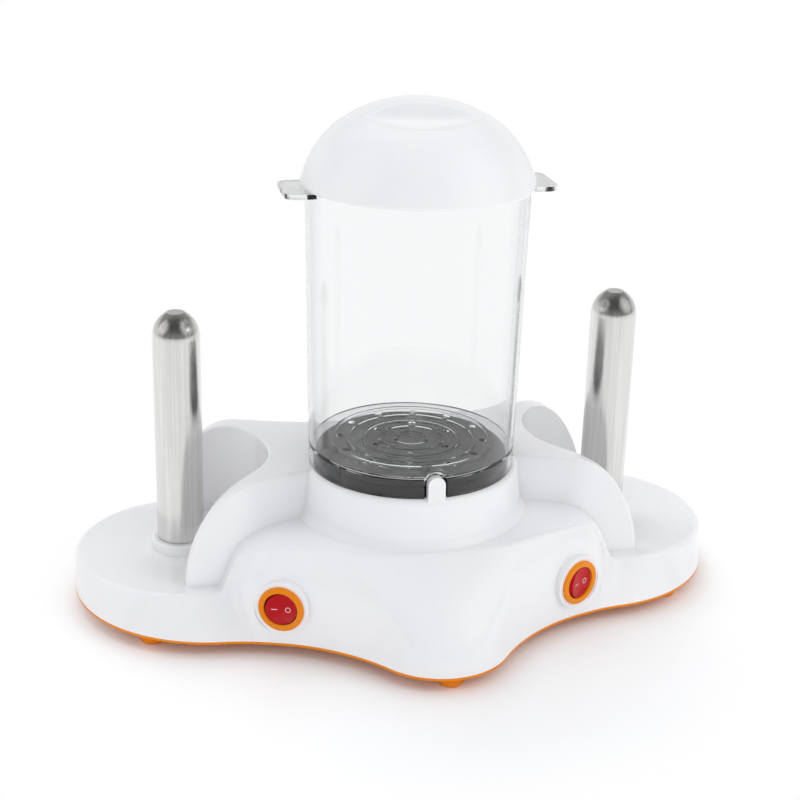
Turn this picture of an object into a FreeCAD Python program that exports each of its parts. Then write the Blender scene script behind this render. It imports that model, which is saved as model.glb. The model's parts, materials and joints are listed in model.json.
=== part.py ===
"""Hot dog toaster: a three-lobed base with a steam container and two heated bun spikes.

Frame: millimetres, +Z up, +X to the right, -Y to the front. The origin lies on the table,
under the axis of the container.
"""
import FreeCAD, Part
import Sketcher
import math
import os

App = FreeCAD

DIMENSIONS = (
    # outline of the base at the seam: round posts joined by hollow arcs
    ("row_y", 30.0),
    ("seam_tip_reach", 112.0),
    ("seam_tip_radius", 40.0),
    ("seam_lobe_reach", 190.0),
    ("seam_lobe_radius", 81.0),
    ("shoulder_inset", 108.0),
    ("seam_shoulder_back", 89.998),
    ("seam_shoulder_radius", 35.0),
    ("rear_inset", 106.0),
    ("seam_flank", 112.0),
    ("seam_throat", 90.0),
    ("seam_rear_flank", 400.0),
    ("rear_radius", 18.0),
    # the same at the height of the lobes' tables
    ("table_tip_step", 6.0),
    ("table_tip_radius", 40.0),
    ("table_reach_step", 0.5),
    ("table_lobe_step", 16.5),
    ("table_shoulder_step", 4.6),
    ("table_shoulder_back", 69.694),
    ("table_shoulder_radius", 20.0),
    ("table_rear_step", 8.0),
    ("table_back_step", 1.0),
    ("table_flank", 140.0),
    ("table_throat", 16.0),
    ("table_rear_flank", 30.0),
    # and at the deck
    ("deck_tip_step", 41.0),
    ("deck_tip_bend", 0.962),
    ("deck_shoulder_step", 6.0),
    ("deck_shoulder_back", 2.306),
    ("deck_shoulder_radius", 19.0),
    ("deck_rear_step", 4.0),
    ("deck_back_step", 5.0),
    ("deck_flank", 600.0),
    ("deck_throat", 16.0),
    ("deck_rear_flank", 30.0),
    # heights above the table
    ("foot_height", 7.0),
    ("seam_height", 8.5),
    ("lobe_height", 30.0),
    ("deck_height", 61.0),
    ("crest_height", 88.0),
    ("wall", 2.8),
    ("edge_round", 3.5),
    # ends of the deck, which roll down to the lobes
    ("deck_inset", 105.5),
    ("deck_end_radius", 24.0),
    ("deck_end_foot", 4.0),
    ("deck_end_lean", 67.0),
    # raised hub with its four fins
    ("waist_half", 30.0),
    ("knee_low_back", 42.5),
    ("knee_low_half", 56.0),
    ("knee_high_back", 30.5),
    ("knee_high_half", 50.0),
    ("knee_round", 25.0),
    ("hub_past", 13.5),
    ("crest_back", 40.5),
    ("crest_past", 3.5),
    ("crest_sink", 2.0),
    ("crest_radius", 36.0),
    ("crest_round", 2.0),
    ("recess_back", 3.0),
    ("recess_radius", 47.5),
    # pedestal and container
    ("pedestal_foot_step", 11.0),
    ("pedestal_low_step", 5.5),
    ("pedestal_top_step", 3.0),
    ("pedestal_flare", 6.0),
    ("pedestal_round", 3.5),
    ("well_inset", 2.7),
    ("well_depth", 9.0),
    ("ledge_width", 9.3),
    ("ledge_thickness", 3.0),
    ("container_low_radius", 58.0),
    ("container_flare", 3.0),
    ("container_height", 163.0),
    ("container_wall", 2.2),
    ("container_floor", 10.0),
    ("floor_thickness", 2.2),
    ("ring_pitch", 9.0),
    ("ring_height", 1.4),
    ("steam_hole_radius", 2.2),
    ("ear_length", 13.5),
    ("ear_width", 34.0),
    ("ear_thickness", 2.6),
    ("ear_drop", 6.4),
    ("ear_round", 6.0),
    ("key_width", 9.6),
    ("key_height", 13.0),
    ("key_proud", 2.2),
    ("key_depth", 4.6),
    ("key_gap", 1.6),
    ("hood_wall", 1.5),
    # lid
    ("lid_overlap", 3.0),
    ("lid_gap", 2.6),
    ("lid_skirt", 1.5),
    ("lid_shoulder_inset", 18.6),
    ("lid_shoulder_drop", 14.9),
    ("lid_height", 45.5),
    ("lid_wall", 2.0),
    ("lid_shoulder_bulge", 58.0),
    ("lid_dome_bulge", 76.0),
    ("scoop_y", 18.1),
    ("scoop_drop", 2.3),
    ("scoop_radius", 6.0),
    ("scoop_wall_lean", 30.5),
    ("scoop_floor_lean", 5.8),
    ("scoop_edge", 1.5),
    ("lid_turn", -10.0),
    # steam pan under the container
    ("pan_gap", 1.0),
    ("pan_wall", 2.0),
    ("pan_height", 13.0),
    ("pan_floor", 3.0),
    ("gasket_thickness", 2.0),
    ("heater_inset", 12.0),
    ("heater_tube_radius", 4.0),
    ("heater_gap_angle", 50.0),
    ("heater_lead", 22.0),
    ("stud_inset", 4.8),
    ("stud_radius", 2.0),
    ("clamp_thickness", 1.5),
    ("clamp_inset", 5.0),
    ("clamp_gap", 1.3),
    ("nut_height", 3.2),
    ("nut_width", 7.0),
    ("thermostat_radius", 8.0),
    ("thermostat_height", 9.0),
    ("fuse_radius", 2.4),
    ("fuse_length", 16.0),
    # spikes
    ("spike_inset", 61.5),
    ("spike_radius", 13.4),
    ("spike_wall", 1.0),
    ("spike_height", 142.0),
    ("spike_tip_length", 14.0),
    ("spike_tip_radius", 5.0),
    ("collar_width", 3.4),
    ("collar_height", 6.4),
    ("collar_barrel_wall", 2.2),
    ("collar_barrel_length", 16.0),
    ("collar_lip", 2.0),
    ("spike_fit", 0.06),
    ("spike_shoulder", 0.3),
    ("shoulder_gap", 0.6),
    ("core_gap", 0.3),
    ("core_length", 96.0),
    ("spike_nut_width", 4.9),
    ("spike_nut_height", 5.0),
    # switches
    ("switch_inset", 2.1),
    ("switch_proud", 1.5),
    ("switch_lift", 0.4),
    ("switch_turn", 28.0),
    ("switch_collar_width", 2.6),
    ("ring_width", 3.4),
    ("ring_bore", 9.4),
    ("ring_rise", 1.8),
    ("rocker_gap", 0.3),
    ("rocker_depth", 6.6),
    ("rocker_face", 3.2),
    ("dish_radius", 40.0),
    ("pivot_depth", 1.2),
    ("pin_fit", 0.05),
    ("rocker_tilt", 9.0),
    ("rocker_pin_radius", 1.0),
    ("switch_body_wall", 1.2),
    ("switch_body_depth", 17.0),
    ("blade_length", 8.0),
    ("blade_width", 6.3),
    ("blade_thickness", 0.8),
    ("blade_pitch", 5.5),
    # underside
    ("foot_radius", 6.8),
    ("foot_front_inset", 11.0),
    ("foot_side_inset", 39.0),
    ("foot_side_step", 26.0),
    ("foot_plug_radius", 3.5),
    ("plate_thickness", 1.5),
    ("screw_radius", 1.7),
    ("screw_head_radius", 3.4),
    ("screw_head_height", 2.0),
    ("screw_length", 12.0),
    ("boss_radius", 4.5),
    ("boss_front_x", 46.0),
    ("boss_front_inset", 56.0),
    ("boss_rear_inset", 12.0),
    ("boss_back_inset", 17.0),
    ("boss_side_inset", 18.0),
    ("rim_inset", 5.0),
    ("rim_wall", 1.6),
    ("rim_height", 1.2),
    ("vent_width", 3.0),
    ("vent_length", 22.0),
    ("vent_gap", 5.0),
    ("vent_pitch", 9.0),
    ("clearance", 0.3),
    ("seat_gap", 0.2),
    # cord outlet at the back
    ("gland_height", 22.0),
    ("gland_radius", 7.0),
    ("gland_flange_radius", 9.0),
    ("gland_flange", 2.0),
    ("gland_bore", 3.6),
    ("gland_length", 12.0),
    ("terminal_length", 34.0),
    ("terminal_depth", 16.0),
    ("terminal_height", 13.0),
    ("terminal_y", 62.0),
)

# Sizes that follow others, so that what fits in, seats on or lines up with a piece moves with it.
sizes = dict(DIMENSIONS)
sizes["seam_shoulder_x"] = sizes["seam_lobe_reach"] - sizes["shoulder_inset"]
sizes["seam_shoulder_y"] = sizes["seam_tip_reach"] - sizes["seam_shoulder_back"]
sizes["seam_rear_x"] = sizes["seam_lobe_reach"] - sizes["rear_inset"]
sizes["seam_back"] = sizes["row_y"] + sizes["seam_lobe_radius"]
sizes["table_tip_reach"] = sizes["seam_tip_reach"] - sizes["table_tip_step"]
sizes["table_lobe_reach"] = sizes["seam_lobe_reach"] - sizes["table_reach_step"]
sizes["table_lobe_radius"] = sizes["seam_lobe_radius"] - sizes["table_lobe_step"]
sizes["table_shoulder_x"] = sizes["seam_shoulder_x"] + sizes["table_shoulder_step"]
sizes["table_shoulder_y"] = sizes["table_tip_reach"] - sizes["table_shoulder_back"]
sizes["table_rear_x"] = sizes["seam_rear_x"] + sizes["table_rear_step"]
sizes["table_back"] = sizes["seam_back"] - sizes["table_back_step"]
sizes["deck_tip_reach"] = sizes["seam_tip_reach"] - sizes["deck_tip_step"]
sizes["deck_lobe_reach"] = sizes["table_lobe_reach"]
sizes["deck_lobe_radius"] = sizes["table_lobe_radius"]
sizes["deck_shoulder_x"] = sizes["seam_shoulder_x"] - sizes["deck_shoulder_step"]
sizes["deck_shoulder_y"] = sizes["table_shoulder_y"] - sizes["deck_shoulder_back"]
deck_bulge = sizes["deck_tip_reach"] - sizes["deck_shoulder_y"]
sizes["deck_tip_radius"] = sizes["deck_tip_bend"] * sizes["deck_shoulder_x"] ** 2 / deck_bulge
sizes["deck_rear_x"] = sizes["seam_rear_x"] + sizes["deck_rear_step"]
sizes["deck_back"] = sizes["seam_back"] - sizes["deck_back_step"]
sizes["deck_half"] = sizes["seam_lobe_reach"] - sizes["deck_inset"]
sizes["spike_x"] = sizes["seam_lobe_reach"] - sizes["spike_inset"]
sizes["knee_low_x"] = sizes["spike_x"] - sizes["knee_low_back"]
sizes["knee_high_x"] = sizes["spike_x"] - sizes["knee_high_back"]
sizes["hub_end"] = sizes["spike_x"] + sizes["hub_past"]
sizes["crest_start"] = sizes["spike_x"] - sizes["crest_back"]
sizes["crest_end"] = sizes["spike_x"] + sizes["crest_past"]
sizes["crest_foot"] = sizes["lobe_height"] - sizes["crest_sink"]
sizes["recess_x"] = sizes["spike_x"] - sizes["recess_back"]
sizes["pedestal_foot_radius"] = sizes["container_low_radius"] + sizes["pedestal_foot_step"]
sizes["pedestal_low_radius"] = sizes["container_low_radius"] + sizes["pedestal_low_step"]
sizes["pedestal_top_radius"] = sizes["container_low_radius"] + sizes["pedestal_top_step"]
sizes["well_radius"] = sizes["container_low_radius"] - sizes["well_inset"]
sizes["ledge_bore"] = sizes["well_radius"] - sizes["ledge_width"]
sizes["container_top_radius"] = sizes["container_low_radius"] + sizes["container_flare"]
sizes["ear_reach"] = sizes["container_top_radius"] + sizes["ear_length"]
sizes["key_front"] = sizes["container_low_radius"] + sizes["key_proud"]
sizes["lid_radius"] = sizes["container_top_radius"] + sizes["lid_gap"]
sizes["lid_shoulder_radius"] = sizes["lid_radius"] - sizes["lid_shoulder_inset"]
sizes["lid_shoulder_rise"] = sizes["lid_height"] - sizes["lid_shoulder_drop"]
sizes["scoop_rise"] = sizes["lid_height"] - sizes["scoop_drop"]
sizes["pan_radius"] = sizes["well_radius"] - sizes["pan_gap"]
sizes["heater_ring_radius"] = sizes["ledge_bore"] - sizes["heater_inset"]
sizes["stud_circle"] = sizes["pan_radius"] - sizes["stud_inset"]
sizes["clamp_bore"] = sizes["ledge_bore"] - sizes["clamp_inset"]
sizes["clamp_radius"] = sizes["well_radius"] - sizes["clamp_gap"]
sizes["collar_radius"] = sizes["spike_radius"] + sizes["collar_width"]
sizes["collar_barrel_radius"] = sizes["spike_radius"] + sizes["collar_barrel_wall"]
sizes["spike_nut_radius"] = sizes["collar_barrel_radius"] + sizes["spike_nut_width"]
sizes["switch_x"] = sizes["table_shoulder_x"] - sizes["switch_inset"]
sizes["switch_height"] = sizes["lobe_height"] + sizes["switch_lift"]
sizes["ring_radius"] = sizes["ring_bore"] + sizes["ring_width"]
sizes["switch_collar_radius"] = sizes["ring_radius"] + sizes["switch_collar_width"]
sizes["rocker_radius"] = sizes["ring_bore"] - sizes["rocker_gap"]
sizes["switch_body_radius"] = sizes["ring_bore"] + sizes["switch_body_wall"]
sizes["foot_front_y"] = sizes["seam_tip_reach"] - sizes["foot_front_inset"]
sizes["foot_side_x"] = sizes["seam_lobe_reach"] - sizes["foot_side_inset"]
sizes["foot_side_y"] = sizes["seam_lobe_radius"] - sizes["foot_side_step"]
sizes["boss_front_y"] = sizes["seam_tip_reach"] - sizes["boss_front_inset"]
sizes["boss_rear_x"] = sizes["seam_rear_x"] - sizes["boss_rear_inset"]
sizes["boss_rear_y"] = sizes["seam_back"] - sizes["boss_back_inset"]
sizes["boss_side_x"] = sizes["seam_lobe_reach"] - sizes["boss_side_inset"]

doc = App.newDocument("HotDogToaster")
sheet = doc.addObject("Spreadsheet::Sheet", "dims")
for row, (alias, value) in enumerate(sizes.items(), start=1):
    sheet.set("A%d" % row, alias)
    sheet.set("B%d" % row, repr(round(value, 6)))
    sheet.setAlias("B%d" % row, alias)
doc.recompute()

nodes = {}


def size(expression):
    """Number that an expression of the sheet's sizes gives."""
    return float(sheet.evalExpression(expression))


def body_named(name):
    """New PartDesign body."""
    return doc.addObject("PartDesign::Body", name)


def keep(name, piece):
    """Name a finished sub-part as one of the kept nodes."""
    piece.Label = name
    nodes[name] = piece
    return piece


def new_sketch(body, plane="XY_Plane", level=None):
    """Sketch on an origin plane of its body, lifted along the plane's normal by an expression."""
    sketch = body.newObject("Sketcher::SketchObject", body.Name + "_outline")
    base = [feature for feature in body.Origin.OriginFeatures if feature.Role == plane][0]
    sketch.AttachmentSupport = [(base, "")]
    sketch.MapMode = "FlatFace"
    if level is not None:
        sketch.setExpression("AttachmentOffset.Base.z", level)
        sketch.AttachmentOffset = App.Placement(App.Vector(0, 0, size(level)), App.Rotation())
    return sketch


def constrain(sketch, kind, expression, *where):
    """Dimension of a sketch, bound to an expression."""
    index = sketch.addConstraint(Sketcher.Constraint(kind, *where, size(expression)))
    sketch.setExpression("Constraints[%d]" % index, expression)


def arc_between(start, end, radius, side):
    """Short arc from start to end; side +1 bulges to the left of the way, -1 to the right."""
    way = end - start
    half = way.Length / 2
    across = App.Vector(-way.y, way.x, 0).normalize() * side
    sagitta = radius - math.sqrt(radius * radius - half * half)
    return Part.Arc(start, (start + end) / 2 + across * sagitta, end)


def draw(sketch, corners, arcs=None):
    """Closed outline through corners given as pairs of expressions.

    arcs maps the number of an edge to the radius and the side of the arc that replaces it.
    """
    arcs = arcs or {}
    points = [App.Vector(size(across), size(up), 0) for across, up in corners]
    ends = []
    for number, start in enumerate(points):
        end = points[(number + 1) % len(points)]
        if number in arcs:
            radius, side = arcs[number]
            curve = sketch.addGeometry(arc_between(start, end, size(radius), side), False)
            first = sketch.getPoint(curve, 1)
            turned = (first - start).Length > (first - end).Length
            ends.append((curve, 2, 1) if turned else (curve, 1, 2))
            constrain(sketch, "Radius", radius, curve)
        else:
            ends.append((sketch.addGeometry(Part.LineSegment(start, end), False), 1, 2))
    for number, (curve, first, last) in enumerate(ends):
        following, following_first, _ = ends[(number + 1) % len(ends)]
        sketch.addConstraint(
            Sketcher.Constraint("Coincident", curve, last, following, following_first))
        across, up = corners[number]
        constrain(sketch, "DistanceX", across, -1, 1, curve, first)
        constrain(sketch, "DistanceY", up, -1, 1, curve, first)


def pad(body, sketch, length, both_ways=False):
    """Pad of a sketch by an expression."""
    feature = body.newObject("PartDesign::Pad", body.Name + "_pad")
    feature.Profile = (sketch, [""])
    feature.setExpression("Length", length)
    feature.Length = size(length)
    feature.Midplane = both_ways
    return feature


def turned(name, corners, arcs=None):
    """Body of revolution about Z from a half section in X and Z."""
    body = body_named(name)
    sketch = new_sketch(body, "XZ_Plane")
    draw(sketch, corners, arcs)
    feature = body.newObject("PartDesign::Revolution", name + "_turn")
    feature.Profile = (sketch, [""])
    feature.ReferenceAxis = (sketch, ["V_Axis"])
    feature.Angle = 360
    return body


def loft(body, sketches, smooth=True):
    """Loft through sketches from the lowest to the highest."""
    feature = body.newObject("PartDesign::AdditiveLoft", body.Name + "_loft")
    feature.Profile = (sketches[-1], [""])
    feature.Sections = [(sketch, [""]) for sketch in sketches[-2::-1]]
    feature.Ruled = not smooth
    return feature


def fillet(body, radius, wanted):
    """Fillet the edges of the body's tip that wanted(edge) picks."""
    doc.recompute()
    base = body.Tip
    names = [
        "Edge%d" % number
        for number, edge in enumerate(base.Shape.Edges, start=1)
        if wanted(edge)
    ]
    feature = body.newObject("PartDesign::Fillet", body.Name + "_round")
    feature.Base = (base, names)
    feature.setExpression("Radius", radius)
    feature.Radius = size(radius)
    doc.recompute()
    return feature


def fused(name, pieces):
    """Union of several objects."""
    feature = doc.addObject("Part::MultiFuse", name)
    feature.Shapes = pieces
    feature.Refine = False
    return feature


def cut(name, base, tool):
    """Difference of two objects."""
    feature = doc.addObject("Part::Cut", name)
    feature.Base = base
    feature.Tool = tool
    return feature


def common(name, base, tool):
    """Overlap of two objects."""
    feature = doc.addObject("Part::Common", name)
    feature.Base = base
    feature.Tool = tool
    return feature


def cylinder(name, radius, height, place, axis=(0, 0, 1)):
    """Cylinder along an axis, its foot at three expressions."""
    feature = doc.addObject("Part::Cylinder", name)
    feature.setExpression("Radius", radius)
    feature.setExpression("Height", height)
    turn = App.Rotation(App.Vector(0, 0, 1), App.Vector(*axis))
    feature.Placement = App.Placement(App.Vector(*[size(part) for part in place]), turn)
    for letter, part in zip("xyz", place):
        feature.setExpression("Placement.Base." + letter, part)
    return feature


def box(name, sides, place=()):
    """Box with its least corner at three expressions, or to be placed later."""
    feature = doc.addObject("Part::Box", name)
    for side, expression in zip(("Length", "Width", "Height"), sides):
        feature.setExpression(side, expression)
    for letter, part in zip("xyz", place):
        feature.setExpression("Placement.Base." + letter, part)
    return feature


def post(across, deep, radius):
    """Round corner of an outline: its centre and its radius."""
    return App.Vector(size(across), size(deep), 0), size(radius)


def hollow_between(first, second, radius):
    """Centre of the hollow arc to the right of the way between two posts, and its two ends."""
    start, start_radius = first
    end, end_radius = second
    from_start = start_radius + radius
    from_end = end_radius + radius
    way = end - start
    apart = way.Length
    along = (from_start ** 2 - from_end ** 2 + apart ** 2) / (2 * apart)
    out = math.sqrt(from_start ** 2 - along ** 2)
    unit = way.normalize()
    centre = start + unit * along + App.Vector(unit.y, -unit.x, 0) * out
    return (centre, start + (centre - start) * (start_radius / from_start),
            end + (centre - end) * (end_radius / from_end))


# the outline's posts at a stage: tip, shoulder, lobe and rear corner
POSTS = (("0", "dims.{0}_tip_radius - dims.{0}_tip_reach", "dims.{0}_tip_radius"),
         ("dims.{0}_shoulder_x", "-dims.{0}_shoulder_y", "dims.{0}_shoulder_radius"),
         ("dims.{0}_lobe_reach - dims.{0}_lobe_radius", "dims.row_y", "dims.{0}_lobe_radius"),
         ("dims.{0}_rear_x", "dims.{0}_back - dims.rear_radius", "dims.rear_radius"))


# points that the curve passes in each bend from the tip to the rear corner, along the back and
# round the tip: the same at every stage, so that the walls rise without a twist
SHARES = (20, 7, 8, 26, 24, 9, 8)
BACK_SHARE = 44
TIP_SHARE = 22


def posts_at(stage, inset):
    """Posts of the outline's right half at a stage, within an inset."""
    return [post(across.format(stage), deep.format(stage), radius.format(stage) + " - " + inset)
            for across, deep, radius in POSTS]


def flank_wall(stage, across):
    """How far in front of the row's axis plane the hollow flank stands at a place across."""
    tip, shoulder = posts_at(stage, "0")[:2]
    radius = size("dims.%s_flank" % stage)
    centre = hollow_between(tip, shoulder, radius)[0]
    return centre.y + math.sqrt(radius ** 2 - (across - centre.x) ** 2)


def spread(chain, turns, shares):
    """Points spread evenly over each bend of a fine closed chain, where a short bend gets more room."""
    lengths = [0.0]
    for start, end in zip(chain, chain[1:] + chain[:1]):
        lengths.append(lengths[-1] + (end - start).Length)
    marks = [lengths[turn] for turn in turns] + [lengths[-1]]
    for number, share in enumerate(shares[:-1]):
        if marks[number + 1] - marks[number] < 1.5 * share:
            middle = (marks[number] + marks[number + 1]) / 2
            marks[number:number + 2] = [middle - 0.75 * share, middle + 0.75 * share]
    points = []
    place = 0
    for first, last, share in zip(marks, marks[1:], shares):
        for step in range(share):
            reach = first + (last - first) * step / share
            while lengths[place + 1] <= reach:
                place += 1
            part = (reach - lengths[place]) / (lengths[place + 1] - lengths[place])
            points.append(chain[place] * (1 - part) + chain[(place + 1) % len(chain)] * part)
    return points


def outline(body, level, inset, stage):
    """Section of the base: tip, flanks, shoulders, lobes and a straight back, all tangent.

    The sketch holds the posts as construction circles and one curve that runs round them.
    """
    sketch = new_sketch(body, "XY_Plane", level)
    posts = posts_at(stage, inset)
    for (across, deep, radius), (centre, length) in zip(POSTS, posts):
        sides = (1,) if across == "0" else (1, -1)
        for side in sides:
            middle = App.Vector(side * centre.x, centre.y, 0)
            ring = sketch.addGeometry(Part.Circle(middle, App.Vector(0, 0, 1), length), True)
            constrain(sketch, "Radius", "%s - %s" % (radius.format(stage), inset), ring)
            constrain(sketch, "DistanceX", "%d * (%s)" % (side, across.format(stage)), -1, 1, ring, 3)
            constrain(sketch, "DistanceY", deep.format(stage), -1, 1, ring, 3)
    radii = [size("dims.%s_%s + %s" % (stage, word, inset)) for word in ("flank", "throat", "rear_flank")]
    right = []
    for first, second, radius in zip(posts, posts[1:], radii):
        right += hollow_between(first, second, radius)[1:]
    lobe_centre, lobe_length = posts[2]
    rear_centre, rear_length = posts[3]
    right.insert(4, lobe_centre + App.Vector(lobe_length, 0, 0))
    right.append(rear_centre + App.Vector(0, rear_length, 0))
    tip, shoulder, lobe, rear = [length for _, length in posts]
    bends = [(radii[0], 1), (shoulder, -1), (radii[1], 1), (lobe, -1), (lobe, -1), (radii[2], 1), (rear, -1)]
    bends = bends + [None] + bends[::-1] + [(tip, -1)]
    shares = SHARES + (BACK_SHARE,) + SHARES[::-1] + (TIP_SHARE,)
    corners = right + [App.Vector(-point.x, point.y, 0) for point in reversed(right)]
    chain = []
    turns = []
    for start, end, bend in zip(corners, corners[1:] + corners[:1], bends):
        span = arc_between(start, end, *bend).toShape() if bend else Part.LineSegment(start, end).toShape()
        steps = span.discretize(max(3, int(4 * span.Length)))
        turns.append(len(chain))
        chain += steps[:-1] if (steps[0] - start).Length < (steps[-1] - start).Length else steps[:0:-1]
    curve = Part.BSplineCurve()
    points = spread(chain, turns, shares)
    marks = [float(step) for step in range(len(points) + 1)]
    curve.interpolate(Points=points, PeriodicFlag=True, Parameters=marks)
    sketch.addGeometry(curve, False)
    return sketch


def skirt(name, inset, low, deck):
    """The base's walls, from the lobed outline at the seam up to the deck."""
    body = body_named(name)
    loft(body, [outline(body, low, inset, "seam"), outline(body, "dims.lobe_height", inset, "table"),
                outline(body, deck, inset, "deck")])
    return body


def roof(name, inset, low):
    """Everything under the deck and the lobes' tables, with the slopes between them."""
    body = body_named(name)
    sketch = new_sketch(body, "XZ_Plane")
    near = "(dims.deck_end_radius - %s)" % inset
    far = "(dims.deck_end_foot + %s)" % inset
    sine = "sin(dims.deck_end_lean * 1 deg)"
    cosine = "cos(dims.deck_end_lean * 1 deg)"
    near_z = "(dims.deck_height - dims.deck_end_radius)"
    far_z = "(dims.lobe_height + dims.deck_end_foot)"
    reach = "(dims.deck_half + (dims.deck_end_radius + dims.deck_end_foot) / %s + (%s - %s) * %s / %s)" % (
        sine, near_z, far_z, cosine, sine)
    half = (("dims.seam_lobe_reach + 10", low),
            ("dims.seam_lobe_reach + 10", "%s - %s" % (far_z, far)),
            (reach, "%s - %s" % (far_z, far)),
            ("%s - %s * %s" % (reach, far, sine), "%s - %s * %s" % (far_z, far, cosine)),
            ("dims.deck_half + %s * %s" % (near, sine), "%s + %s * %s" % (near_z, near, cosine)),
            ("dims.deck_half", "%s + %s" % (near_z, near)))
    other = [("-(%s)" % across, up) for across, up in reversed(half)]
    draw(sketch, list(half) + other, {2: (far, 1), 4: (near, -1), 6: (near, -1), 8: (far, 1)})
    pad(body, sketch, "4 * dims.seam_back", both_ways=True)
    return body


def hub_section(body, level, inset, knee_x, knee_half):
    """Bow-tie section of the hub: arcs that pinch to the waist, then level flanks of the fins."""
    sketch = new_sketch(body, "XY_Plane", level)
    half = "(%s - %s)" % (knee_half, inset)
    waist = "(dims.waist_half - %s)" % inset
    rise = "(%s - %s)" % (half, waist)
    radius = "(%s ^ 2 + %s ^ 2) / (2 * %s)" % (knee_x, rise, rise)
    end = "(dims.hub_end - %s)" % inset
    front = "(dims.row_y - %s)" % half
    back = "(dims.row_y + %s)" % half
    corners = (("-" + end, front), ("-" + knee_x, front), (knee_x, front), (end, front),
               (end, back), (knee_x, back), ("-" + knee_x, back), ("-" + end, back))
    draw(sketch, corners, {1: (radius, 1), 5: (radius, 1)})
    return sketch


def hub(name, inset, low, top):
    """Raised hub across the base: bow-tie in plan, its ends sweep down as the crests of the fins."""
    body = body_named(name)
    loft(body, [hub_section(body, low, inset, "dims.knee_low_x", "dims.knee_low_half"),
                hub_section(body, top, inset, "dims.knee_high_x", "dims.knee_high_half")], smooth=False)
    reach = (size("dims.knee_low_x - 5"), size("dims.knee_high_x + 5"))
    fillet(body, "dims.knee_round - " + inset,
           lambda edge: facing(edge, (0, 0, 1), 0.8) and reach[0] < abs(edge_middle(edge).x) < reach[1])
    return body


def crest(name, inset, low):
    """Everything under the crest line: level over the middle, two tangent arcs down to each lobe."""
    body = body_named(name)
    sketch = new_sketch(body, "XZ_Plane")
    top = "(dims.crest_height - %s)" % inset
    end = "(dims.crest_end - %s)" % inset
    near = "(dims.crest_radius - %s)" % inset
    foot = "dims.crest_foot"
    across = "(%s - dims.crest_start)" % end
    down = "(%s - %s)" % (top, foot)
    far = "((%s ^ 2 + %s ^ 2 - 2 * %s * %s) / (2 * (%s - %s)))" % (
        across, down, down, near, across, near)
    joint_x = "(%s - %s + %s * (dims.crest_start - %s + %s) / (%s - %s))" % (
        end, far, far, end, far, far, near)
    joint_z = "(%s + %s * (%s - %s) / (%s - %s))" % (foot, far, down, near, far, near)
    start = "dims.crest_start"
    corners = ((end, low), (end, foot), (joint_x, joint_z), (start, top),
               ("-" + start, top), ("-" + joint_x, joint_z), ("-" + end, foot), ("-" + end, low))
    draw(sketch, corners, {1: (far, -1), 2: (near, -1), 4: (near, -1), 5: (far, -1)})
    pad(body, sketch, "4 * (dims.row_y + dims.knee_low_half)", both_ways=True)
    return body


def recess(name, side, grown, low):
    """Round recess about a spike, between the fins."""
    return cylinder(name, "dims.recess_radius + " + grown, "dims.crest_height",
                    ("%s * dims.recess_x" % side, "dims.row_y", low))


def base_form(name, inset, low, deck):
    """The base without its fins and pedestal: walls, tables and deck."""
    return common(name, skirt(name + "_skirt", inset, low, deck), roof(name + "_roof", inset, low + " - 5"))


def fin_form(name, inset, low):
    """The two pairs of fins, still joined across the recesses."""
    return common(name, hub(name + "_hub", inset, "dims.lobe_height - 10", "dims.crest_height"),
                  crest(name + "_crest", inset, low))


def facing(edge, axis, lean=0.95):
    """Whether a straight way from end to end of an edge runs along an axis."""
    first, last = edge.Vertexes[0].Point, edge.Vertexes[-1].Point
    way = last - first
    return way.Length > 0.001 and abs(way.normalize().dot(App.Vector(*axis))) > lean


def edge_middle(edge):
    """Point half way along an edge."""
    return edge.valueAt((edge.FirstParameter + edge.LastParameter) / 2)


def rounded(name, base, radius, wanted):
    """Fillet on the edges of an object that wanted(edge) picks."""
    feature = doc.addObject("Part::Fillet", name)
    feature.Base = base
    doc.recompute()
    feature.Edges = [(number, size(radius), size(radius))
                     for number, edge in enumerate(base.Shape.Edges, start=1) if wanted(edge)]
    return feature


def rim_of(roof_form):
    """Test for edges that run along the rim of a roof: the deck, its slopes and the tables."""
    surface = roof_form.Shape.Shells[0]

    def wanted(edge):
        first, last = edge.ParameterRange
        points = [edge.valueAt(first + (last - first) * part) for part in (0.25, 0.5, 0.75)]
        return not facing(edge, (0, 1, 0), 0.999) and all(
            surface.distToShape(Part.Vertex(point))[0] < 0.01 for point in points)

    return wanted


# ---- upper housing ----

base = base_form("outer_base", "0", "dims.seam_height", "dims.deck_height")
doc.recompute()
rounded_base = rounded("rounded_base", base, "dims.edge_round", rim_of(base.Tool))
open_base = cut("open_base", rounded_base, fused("high_bays", [
    recess("high_bay_right", 1, "0", "dims.lobe_height"), recess("high_bay_left", -1, "0", "dims.lobe_height")]))
fins = fin_form("outer_fins", "0", "dims.seam_height")
bays = fused("bays", [recess("bay_right", 1, "0", "dims.crest_foot - 10"),
                      recess("bay_left", -1, "0", "dims.crest_foot - 10")])
rounded_fins = rounded("rounded_fins", cut("split_fins", fins, bays), "dims.crest_round", lambda edge: (
    edge_middle(edge).z > size("dims.crest_height") - 0.01 and not facing(edge, (0, 1, 0))))

pedestal = turned("pedestal_form", (
    ("0", "dims.seam_height"),
    ("dims.pedestal_low_radius", "dims.seam_height"),
    ("dims.pedestal_foot_radius", "dims.deck_height - 1"),
    ("dims.pedestal_low_radius", "dims.deck_height - 1 + dims.pedestal_flare"),
    ("dims.pedestal_top_radius", "dims.crest_height - dims.pedestal_round"),
    ("dims.pedestal_top_radius - dims.pedestal_round", "dims.crest_height"),
    ("0", "dims.crest_height"),
), {2: ("(dims.pedestal_foot_radius - dims.pedestal_low_radius + dims.pedestal_flare) * 0.75", 1),
    4: ("dims.pedestal_round", -1)})

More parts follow.
